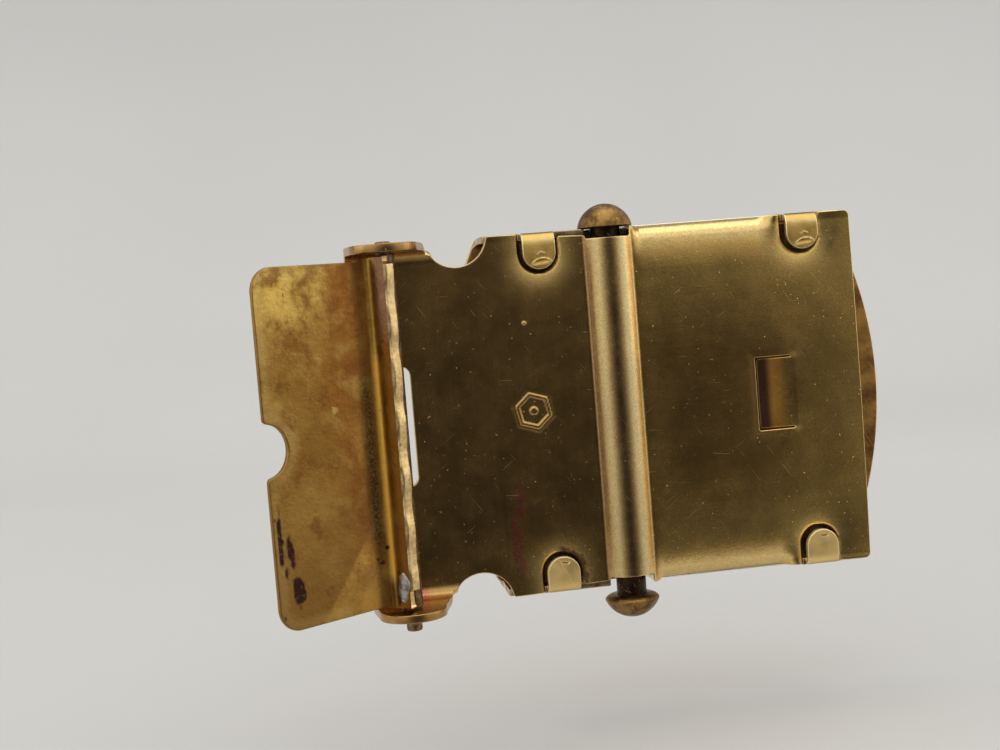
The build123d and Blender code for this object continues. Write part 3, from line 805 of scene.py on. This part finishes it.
# ---- materials
class Nodes:
    """Short names for building a node tree."""

    def __init__(self, name):
        self.mat = bpy.data.materials.new(name)
        self.mat.use_nodes = True
        self.tree = self.mat.node_tree
        self.bsdf = self.tree.nodes["Principled BSDF"]
        self.coord = self.tree.nodes.new("ShaderNodeTexCoord")

    def add(self, kind, **settings):
        node = self.tree.nodes.new(kind)
        for key, value in settings.items():
            setattr(node, key, value)
        return node

    def link(self, source, target):
        self.tree.links.new(source, target)

    def feed(self, socket, value):
        """Joins a socket, or sets it to a number or to an opaque colour."""
        if isinstance(value, bpy.types.NodeSocket):
            self.link(value, socket)
        else:
            socket.default_value = (*value, 1) if isinstance(value, tuple) else value

    def mapped(self, scale=(1, 1, 1), turn=(0, 0, 0)):
        node = self.add("ShaderNodeMapping")
        node.inputs["Scale"].default_value = scale
        node.inputs["Rotation"].default_value = [radians(a) for a in turn]
        self.link(self.coord.outputs["Object"], node.inputs["Vector"])
        return node.outputs["Vector"]

    def noise(self, scale, detail=4, rough=0.55, stretch=(1, 1, 1), turn=(0, 0, 0)):
        node = self.add("ShaderNodeTexNoise")
        node.inputs["Scale"].default_value = scale
        node.inputs["Detail"].default_value = detail
        node.inputs["Roughness"].default_value = rough
        self.link(self.mapped(stretch, turn), node.inputs["Vector"])
        return node.outputs["Fac"]

    def ramp(self, value, low, high, out_low=0.0, out_high=1.0):
        node = self.add("ShaderNodeMapRange", interpolation_type="SMOOTHSTEP")
        self.feed(node.inputs["Value"], value)
        for key, number in (("From Min", low), ("From Max", high), ("To Min", out_low), ("To Max", out_high)):
            node.inputs[key].default_value = number
        return node.outputs["Result"]

    def math(self, kind, a, b):
        node = self.add("ShaderNodeMath", operation=kind)
        self.feed(node.inputs[0], a)
        self.feed(node.inputs[1], b)
        return node.outputs[0]

    def mix(self, factor, a, b):
        node = self.add("ShaderNodeMix", data_type="RGBA")
        self.feed(node.inputs[0], factor)
        self.feed(node.inputs[6], a)
        self.feed(node.inputs[7], b)
        return node.outputs[2]

    def mask(self, name):
        node = self.add("ShaderNodeAttribute", attribute_name=name)
        return node.outputs["Fac"]

    def part(self, name, share):
        """A mask times a share."""
        return self.math("MULTIPLY", self.mask(name), share)

    def wash(self, color, level, share, shade):
        """The colour, drawn toward a shade by a share of a level."""
        return self.mix(self.math("MULTIPLY", level, share), color, shade)

    def tint(self, color, name, share, shade):
        """The colour, drawn toward a shade by a share of a mask."""
        return self.mix(self.part(name, share), color, shade)

    def more(self, level, *extras):
        """The level plus a share of each of the others."""
        for extra, share in extras:
            level = self.math("ADD", level, self.math("MULTIPLY", extra, share))
        return level

    def scratch(self, turn, scale, low, stretch=38):
        """Long thin scratches, turned in the plate's plane."""
        turned = self.mapped((1, 1, 1), (0, turn, 0))
        drawn = self.add("ShaderNodeMapping")
        drawn.inputs["Scale"].default_value = (1, 1, 1.0 / stretch)
        self.link(turned, drawn.inputs["Vector"])
        node = self.add("ShaderNodeTexNoise")
        node.inputs["Scale"].default_value = scale
        node.inputs["Detail"].default_value = 1.5
        self.link(drawn.outputs["Vector"], node.inputs["Vector"])
        return self.ramp(node.outputs["Fac"], low, low + 0.03)

    def bump(self, height, strength, distance, normal=None):
        node = self.add("ShaderNodeBump")
        node.inputs["Strength"].default_value = strength
        node.inputs["Distance"].default_value = distance
        self.feed(node.inputs["Height"], height)
        if normal is not None:
            self.link(normal, node.inputs["Normal"])
        return node.outputs["Normal"]

    def finish(self, color, rough, normal=None, metallic=1.0):
        self.feed(self.bsdf.inputs["Base Color"], color)
        self.feed(self.bsdf.inputs["Roughness"], rough)
        self.feed(self.bsdf.inputs["Metallic"], metallic)
        if normal is not None:
            self.link(normal, self.bsdf.inputs["Normal"])
        return self.mat


CLEAN = (0.80, 0.485, 0.145)
PALE = (0.92, 0.75, 0.37)
GOLD = (0.62, 0.38, 0.10)
ORANGE = (0.55, 0.27, 0.06)
PURPLE = (0.055, 0.022, 0.022)
VERDIGRIS = (0.045, 0.042, 0.018)
OLIVE = (0.55, 0.325, 0.10)
FLECK = (1.0, 0.90, 0.62)
RUST = (0.24, 0.032, 0.045)
DIM = (0.27, 0.17, 0.07)
SHADOW = (0.33, 0.20, 0.07)
AMBER = (0.98, 0.66, 0.20)
SMUDGE = (0.20, 0.085, 0.06)
CREASE_SHADE = (0.16, 0.085, 0.03)
HALO = (0.96, 0.70, 0.25)
POCKET_SHADE = (0.045, 0.022, 0.012)
TANG_GLOW = (0.95, 0.46, 0.09)
TANG_DARK = (0.10, 0.045, 0.035)
TANG_TIP_HIGHLIGHT = (1.0, 0.70, 0.22)
EAR = (0.42, 0.22, 0.07)
PINK = (0.55, 0.14, 0.11)
CREST = (0.40, 0.23, 0.07)
RIB_SHEEN = (0.93, 0.70, 0.30)
RIB_WORN = (0.50, 0.29, 0.12)
RIB_SHADE = (0.27, 0.145, 0.085)
RIB_HIGHLIGHT = (1.0, 0.86, 0.46)
GRAIN = (0.26, 0.15, 0.05)
INSIDE_LIGHT = (0.66, 0.36, 0.10)
INSIDE_DARK = (0.28, 0.13, 0.045)
POLISH = (0.66, 0.42, 0.125)
TAB = (0.88, 0.54, 0.13)
FOLD = (0.11, 0.058, 0.020)
TAB_HIGHLIGHT = (1.0, 0.78, 0.32)
LOWER_TAB_LIGHT = (1.0, 0.78, 0.36)
NICK_SHADOW = (0.16, 0.10, 0.03)
NICK_HIGHLIGHT = (1.0, 0.84, 0.45)
EDGE_HIGHLIGHT = (1.0, 0.88, 0.58)
SLIT_SHADE = (0.30, 0.155, 0.055)
FLAP_LIGHT = (0.42, 0.245, 0.055)
FLAP_DARK = (0.29, 0.145, 0.03)
FLAP_HIGHLIGHT = (0.74, 0.50, 0.12)
BURNT = (0.27, 0.10, 0.02)
CLOUD = (0.22, 0.09, 0.02)
SPECK = (0.26, 0.12, 0.03)
RUBBED = (0.58, 0.38, 0.10)
STRIPE_HIGHLIGHT = (1.0, 0.60, 0.10)
FLAP_LOW = (0.25, 0.115, 0.028)
WEDGE = (0.56, 0.32, 0.07)
SPOT = (0.66, 0.47, 0.14)
RING = (0.16, 0.07, 0.03)
HOOK_SHADE = (0.26, 0.095, 0.012)
HOOK_END = (0.42, 0.26, 0.17)
LIP_WEAR_AND_SHEEN = (0.92, 0.68, 0.32)
STAIN = (0.040, 0.015, 0.016)
PIT = (0.16, 0.06, 0.03)
FLAP_RIM = (0.66, 0.46, 0.16)
FLAP_EDGE = (0.30, 0.17, 0.05)
KNOB_FLECK = (0.70, 0.52, 0.24)


def frame_material():
    m = Nodes("frame_brass")
    broad = m.noise(140, 4, 0.55)
    patch = m.noise(420, 5, 0.6, turn=(0, 20, 0))
    color = m.mix(m.ramp(broad, 0.38, 0.66), CLEAN, OLIVE)
    color = m.wash(color, m.ramp(patch, 0.52, 0.72), 0.35, ORANGE)
    fleck = m.ramp(m.noise(3400, 2, 0.5), 0.735, 0.77)
    color = m.wash(color, fleck, 0.9, FLECK)
    rust = m.part("rust", m.ramp(m.noise(4200, 5, 0.85), 0.44, 0.54, 0.10, 1.0))
    color = m.wash(color, rust, 0.95, RUST)
    color = m.tint(color, "bright", 0.4, PALE)
    # painted shade darkens the plate left of the channel, less near the painted glow around the pockets
    color = m.tint(color, "left", m.math("SUBTRACT", 0.5, m.part("glow", 0.4)), DIM)
    color = m.wash(color, rust, 0.85, RUST)
    color = m.tint(color, "middle", 0.5, SHADOW)
    color = m.tint(color, "rimglow", 0.6, AMBER)
    color = m.tint(color, "smudge", m.ramp(m.noise(1100, 4, 0.6), 0.35, 0.6, 0.4, 0.9), SMUDGE)
    # painted shade darkens the crease along the foot of the channel
    color = m.tint(color, "crease", m.ramp(m.noise(700, 4, 0.6), 0.35, 0.65, 0.35, 0.9), CREASE_SHADE)
    color = m.tint(color, "glow", 0.55, HALO)
    # painted shade fills the tab pockets
    color = m.tint(color, "pocket", m.ramp(m.noise(900, 4, 0.6), 0.38, 0.62, 0.85, 1.0), POCKET_SHADE)
    tang = m.mask("tang")
    color = m.mix(m.ramp(tang, 0.10, 0.5, 0.0, 0.9), color, TANG_GLOW)
    color = m.mix(m.ramp(tang, 0.66, 0.92), color, TANG_DARK)
    # painted highlights at the right ends of the tang's slots
    color = m.tint(color, "tips", 0.85, TANG_TIP_HIGHLIGHT)
    grime = m.part("grime", m.ramp(m.noise(1200, 4, 0.6), 0.3, 0.5))
    color = m.wash(color, grime, 0.9, PURPLE)
    color = m.tint(color, "ear", m.ramp(patch, 0.35, 0.6, 0.5, 0.95), EAR)
    color = m.tint(color, "pink", 0.8, PINK)
    # painted highlight along the cut edges, weaker on the ears
    color = m.tint(color, "edge", m.math("SUBTRACT", 0.55, m.part("ear", 0.5)), PALE)
    color = m.tint(color, "shine", m.ramp(m.noise(2600, 4, 0.7), 0.35, 0.6, 0.2, 0.75), PALE)
    color = m.tint(color, "crest", m.ramp(patch, 0.35, 0.6, 0.8, 0.5), CREST)
    # the channel gets a painted sheen, brown mottling, painted shade along its crown and left foot, and
    # painted highlights on its flanks
    color = m.tint(color, "rib", 0.45, RIB_SHEEN)
    color = m.tint(color, "rib", m.ramp(m.noise(1700, 5, 0.75), 0.42, 0.62, 0.0, 0.32), RIB_WORN)
    color = m.tint(color, "rib_painted_shade", m.ramp(m.noise(1300, 5, 0.75), 0.35, 0.65, 0.85, 0.5), RIB_SHADE)
    color = m.tint(color, "rib_painted_light", 0.6, RIB_HIGHLIGHT)
    grain = m.ramp(m.noise(6000, 3, 0.75), 0.35, 0.65, 0.0, 0.28)
    color = m.mix(grain, color, GRAIN)
    brush_v = m.noise(5200, 3, 0.6, (1, 1, 0.012))
    brush_h = m.noise(5200, 3, 0.6, (0.012, 1, 1))
    brush_node = m.add("ShaderNodeMix", data_type="FLOAT")
    m.feed(brush_node.inputs[0], m.mask("left"))
    m.feed(brush_node.inputs[2], brush_h)
    m.feed(brush_node.inputs[3], brush_v)
    brush = brush_node.outputs[0]
    marks = None
    for turn, scale, low in ((35, 8200, 0.74), (-52, 7400, 0.75), (84, 7800, 0.765)):
        one = m.scratch(turn, scale, low)
        marks = one if marks is None else m.math("MAXIMUM", marks, one)
    rough = m.ramp(m.noise(260, 5, 0.65), 0.3, 0.7, 0.17, 0.25)
    rough = m.more(
        rough, (brush, 0.06), (grime, 0.3), (tang, 0.15), (m.mask("tips"), 0.10),
        (rust, 0.16), (marks, 0.12), (m.mask("pocket"), 0.35),
    )
    color = m.wash(color, marks, 0.22, PALE)
    normal = m.bump(brush, 0.05, 0.00005)
    normal = m.bump(marks, 0.10, 0.00002, normal)
    normal = m.bump(fleck, 0.6, 0.00004, normal)
    normal = m.bump(m.noise(7000, 3, 0.7), 0.22, 0.00004, normal)
    normal = m.bump(m.noise(900, 4, 0.6), 0.05, 0.0002, normal)
    return m.finish(color, rough, normal)


def face_material():
    m = Nodes("face_brass")
    broad = m.noise(330, 5, 0.65)
    blotch = m.noise(900, 5, 0.7)
    inside = m.mask("inside")
    clean = m.mix(m.ramp(m.noise(700, 4, 0.6), 0.4, 0.7), PALE, CLEAN)
    # the front panel's inner side, toward the frame, is toned darker than its outer side
    inner_tone = m.mix(m.ramp(broad, 0.36, 0.64), INSIDE_LIGHT, INSIDE_DARK)
    inner_tone = m.mix(m.ramp(blotch, 0.60, 0.72), inner_tone, GOLD)
    polish = m.mix(m.ramp(m.noise(110, 4, 0.5), 0.36, 0.66), CLEAN, POLISH)
    hair = m.scratch(38, 5200, 0.74)
    color = m.mix(m.mask("front"), m.mix(inside, clean, inner_tone), m.wash(polish, hair, 0.3, PALE))
    color = m.tint(color, "tab", m.ramp(m.noise(1100, 4, 0.7), 0.56, 0.7, 0.0, 0.6), ORANGE)
    color = m.tint(color, "tab", 0.85, TAB)
    color = m.tint(color, "fold", m.ramp(broad, 0.35, 0.6, 0.98, 0.85), FOLD)
    # painted highlight band across the tabs, weaker on the lower ones
    color = m.tint(color, "band", m.ramp(blotch, 0.35, 0.6, 0.85, 0.5), TAB_HIGHLIGHT)
    # painted light: the lower tabs are painted lighter
    color = m.tint(color, "low_tab", 0.6, LOWER_TAB_LIGHT)
    # painted shadow in each nick's scoop, painted highlight on its lip and caret
    color = m.tint(color, "nick", 0.8, NICK_SHADOW)
    color = m.tint(color, "lines", 0.75, NICK_HIGHLIGHT)
    # painted highlight along the cut edges, weaker on the inner side
    color = m.tint(color, "edge", m.math("SUBTRACT", 0.9, m.math("MULTIPLY", inside, 0.5)), EDGE_HIGHLIGHT)
    # painted shade in the relief cuts beside the tabs
    color = m.tint(color, "slit", m.ramp(blotch, 0.35, 0.6, 0.9, 0.6), SLIT_SHADE)
    rough = m.ramp(m.noise(500, 5, 0.7), 0.3, 0.7, 0.20, 0.38)
    rough = m.more(rough, (inside, 0.12), (m.mask("tab"), 0.08), (m.mask("low_tab"), 0.13))
    normal = m.bump(m.noise(3600, 3, 0.6), 0.16, 0.0001)
    normal = m.bump(m.scratch(30, 1500, 0.72), 0.3, 0.00006, normal)
    return m.finish(color, rough, normal)


def lever_material():
    m = Nodes("lever_brass")
    broad = m.noise(130, 5, 0.6, turn=(10, 0, 30))
    cloud = m.noise(380, 5, 0.65)
    speck = m.noise(1700, 4, 0.7)
    color = m.mix(m.ramp(broad, 0.36, 0.62), FLAP_LIGHT, FLAP_DARK)
    # painted highlight toward the flap's upper free end
    color = m.tint(color, "bright_end", m.ramp(cloud, 0.35, 0.6, 1.0, 0.3), FLAP_HIGHLIGHT)
    color = m.tint(color, "burnt", m.ramp(cloud, 0.38, 0.62, 0.3, 0.95), BURNT)
    color = m.wash(color, m.ramp(cloud, 0.50, 0.66), 0.85, CLOUD)
    color = m.wash(color, m.ramp(speck, 0.58, 0.68), 0.40, SPECK)
    rubbed = m.ramp(m.noise(300, 3, 0.5, turn=(0, 60, 0)), 0.52, 0.72)
    color = m.wash(color, rubbed, 0.45, RUBBED)
    # painted highlight along the bend at the hook's root
    color = m.tint(color, "stripe", 0.98, STRIPE_HIGHLIGHT)
    color = m.tint(color, "low", 0.7, FLAP_LOW)
    color = m.tint(color, "wedge", m.ramp(cloud, 0.4, 0.65, 0.75, 0.25), WEDGE)
    color = m.tint(color, "dot", 0.6, SPOT)
    color = m.tint(color, "ring", 0.5, RING)
    # painted shade and bounced light: the hook is painted a dark orange-brown
    color = m.tint(color, "hook", m.ramp(cloud, 0.3, 0.6, 0.8, 1.0), HOOK_SHADE)
    color = m.tint(color, "pinkish", m.ramp(speck, 0.35, 0.6, 0.75, 0.45), HOOK_END)
    # the lip's teeth are painted pale: polished wear on them and a painted sheen
    color = m.tint(color, "lip", m.ramp(speck, 0.4, 0.6, 0.95, 0.6), LIP_WEAR_AND_SHEEN)
    crevice = m.part("crevice", m.ramp(m.noise(4300, 5, 0.85), 0.38, 0.56, 0.25, 1.0))
    color = m.mix(crevice, color, VERDIGRIS)
    color = m.tint(color, "rim_light", 0.22, FLAP_RIM)
    stain = m.part("stain", m.ramp(m.noise(2600, 4, 0.7), 0.30, 0.48, 0.55, 1.0))
    color = m.wash(color, stain, 0.97, STAIN)
    pits = m.ramp(m.noise(1050, 3, 0.6, turn=(0, 0, 70)), 0.68, 0.72)
    color = m.wash(color, pits, 0.75, PIT)
    color = m.tint(color, "edge", 0.8, FLAP_EDGE)
    rough = m.ramp(m.noise(420, 5, 0.7), 0.3, 0.7, 0.26, 0.46)
    rough = m.more(rough, (crevice, 0.35), (stain, 0.08), (m.mask("stripe"), 0.22))
    normal = m.bump(m.noise(2600, 4, 0.65), 0.22, 0.00015)
    normal = m.bump(m.noise(600, 5, 0.7), 0.18, 0.0004, normal)
    normal = m.bump(crevice, 0.6, 0.0001, normal)
    return m.finish(color, rough, normal)


def knob_material(name, light, dark):
    m = Nodes(name)
    cloud = m.noise(700, 5, 0.7)
    speck = m.ramp(m.noise(3800, 3, 0.6), 0.60, 0.70)
    color = m.mix(m.ramp(cloud, 0.38, 0.64), light, dark)
    color = m.wash(color, speck, 0.35, KNOB_FLECK)
    rough = m.ramp(m.noise(1800, 4, 0.7), 0.3, 0.7, 0.30, 0.48)
    normal = m.bump(m.noise(4200, 4, 0.7), 0.30, 0.00015)
    normal = m.bump(m.noise(1400, 3, 0.6), 0.15, 0.0003, normal)
    return m.finish(color, rough, normal)


def dull_metal(name, light, dark, low, high):
    m = Nodes(name)
    color = m.mix(m.ramp(m.noise(1500, 5, 0.7), 0.38, 0.62), light, dark)
    rough = m.ramp(m.noise(2200, 4, 0.7), 0.3, 0.7, low, high)
    normal = m.bump(m.noise(3200, 4, 0.7), 0.35, 0.00018)
    return m.finish(color, rough, normal)


frame_mat, face_mat, lever_mat = frame_material(), face_material(), lever_material()
knob_mat = knob_material("knob_brass", (0.33, 0.195, 0.060), (0.12, 0.060, 0.020))
# the bar is painted almost black: dark patina, and painted shade for the channel and notches around it
bar_mat = knob_material("bar_brass", (0.045, 0.025, 0.014), (0.014, 0.009, 0.008))
pin_mat = dull_metal("pin_steel", (0.30, 0.20, 0.11), (0.09, 0.05, 0.03), 0.32, 0.55)
solder_mat = dull_metal("solder_grey", (0.62, 0.60, 0.56), (0.32, 0.29, 0.26), 0.30, 0.5)

# each piece and the node that it replaces wear the same material
LOOKS = {
    "back_frame": (frame_obj, frame_mat, "frame_brass"),
    "face_plate": (face_obj, face_mat, "face_brass"),
    "clamp_lever": (lever_obj, lever_mat, "lever_brass"),
    "knob_upper": (upper, knob_mat, "knob_brass"),
    "knob_lower": (lower, knob_mat, "knob_brass"),
    "lock_bar": (bar_obj, bar_mat, "bar_brass"),
    "hinge_pin": (pin_obj, pin_mat, "pin_steel"),
    "solder_bead": (solder_obj, solder_mat, "solder"),
}
for node, (piece, material, slot) in LOOKS.items():
    for obj in (piece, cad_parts[node]):
        obj.data.materials.clear()
        obj.data.materials.append(material)


# ---- floor, backdrop, light, camera
def sweep():
    """A floor that curves up into a wall behind."""
    floor_z, wall_y, radius, wide = -0.032, 0.55, 0.30, 1.6
    path = [(-0.025, floor_z), (wall_y - radius, floor_z)]
    for k in range(1, 25):
        a = pi / 2 * k / 24
        path.append((wall_y - radius + radius * sin(a), floor_z + radius * (1 - cos(a))))
    path.append((wall_y, 1.5))
    verts = [(x, y, z) for y, z in path for x in (-wide, wide)]
    faces = [(2 * k, 2 * k + 1, 2 * k + 3, 2 * k + 2) for k in range(len(path) - 1)]
    mesh = bpy.data.meshes.new("studio_floor")
    mesh.from_pydata(verts, [], faces)
    mesh.polygons.foreach_set("use_smooth", [True] * len(mesh.polygons))
    obj = put("studio_floor", mesh)
    m = Nodes("studio_paper")
    tone = m.ramp(m.noise(6, 3, 0.5), 0.3, 0.7, 0.0, 1.0)
    paper = m.mix(tone, (0.585, 0.58, 0.565), (0.605, 0.60, 0.585))
    obj.data.materials.append(m.finish(paper, 0.85, None, 0.0))


sweep()


def lamp(name, place, size, power):
    """A soft rectangle of light, turned to the buckle."""
    data = bpy.data.lights.new(name, "AREA")
    data.shape = "RECTANGLE"
    data.size, data.size_y = size
    data.energy = power
    obj = put(name, data)
    obj.location = place
    obj.rotation_euler = (-Vector(place)).to_track_quat("-Z", "Y").to_euler()


lamp("top_soft", (0.0, 0.05, 0.75), (0.9, 0.7), 1.6)
lamp("left_soft", (-0.8, -0.05, 0.35), (0.4, 0.7), 0.6)
lamp("right_soft", (0.8, -0.05, 0.25), (0.4, 0.7), 0.6)

world = bpy.data.worlds.new("studio")
bpy.context.scene.world = world
world.use_nodes = True
tree = world.node_tree
coord = tree.nodes.new("ShaderNodeTexCoord")


def wire(kind, *inputs, **settings):
    """A world node with its first sockets filled in."""
    node = tree.nodes.new(kind)
    for key, value in settings.items():
        setattr(node, key, value)
    for socket, value in zip(node.inputs, inputs):
        if isinstance(value, bpy.types.NodeSocket):
            tree.links.new(value, socket)
        else:
            socket.default_value = value
    return node


def facing(direction, low, high, out_low, out_high, kind="SMOOTHSTEP"):
    """A level that depends on how near a ray runs to a direction."""
    way = Vector(direction).normalized()
    dot = wire("ShaderNodeVectorMath", coord.outputs["Generated"], way, operation="DOT_PRODUCT")
    nearness = dot.outputs["Value"]
    span = wire("ShaderNodeMapRange", nearness, low, high, out_low, out_high, interpolation_type=kind)
    return span.outputs["Result"]


overhead = facing((0, 0, 1), -0.5, 0.6, 0.35, 1.06)
# the dark side of the room, which the polished sheet mirrors
dark_room = facing((0.15, -0.98, -0.10), cos(radians(43)), 1.0, 1.0, 0.045, "LINEAR")
level = wire("ShaderNodeMath", overhead, dark_room, operation="MULTIPLY").outputs[0]
tree.links.new(level, tree.nodes["Background"].inputs["Strength"])
tree.nodes["Background"].inputs["Color"].default_value = (1.0, 0.985, 0.96, 1)

camera_data = bpy.data.cameras.new("camera")
camera_data.lens = 51.84
camera_data.sensor_width = 36.0
camera_data.clip_start = 0.005
camera = put("camera", camera_data)
right = Vector((0.98727, -0.13729, -0.08036)).normalized()
ahead = Vector((0.13268, 0.98933, -0.06012)).normalized()
up = right.cross(ahead)
camera.matrix_world = Matrix((
    (right.x, up.x, -ahead.x, -0.03064),
    (right.y, up.y, -ahead.y, -0.14360),
    (right.z, up.z, -ahead.z, 0.01282),
    (0, 0, 0, 1),
))
bpy.context.scene.camera = camera

bpy.context.scene.view_settings.view_transform = "Standard"
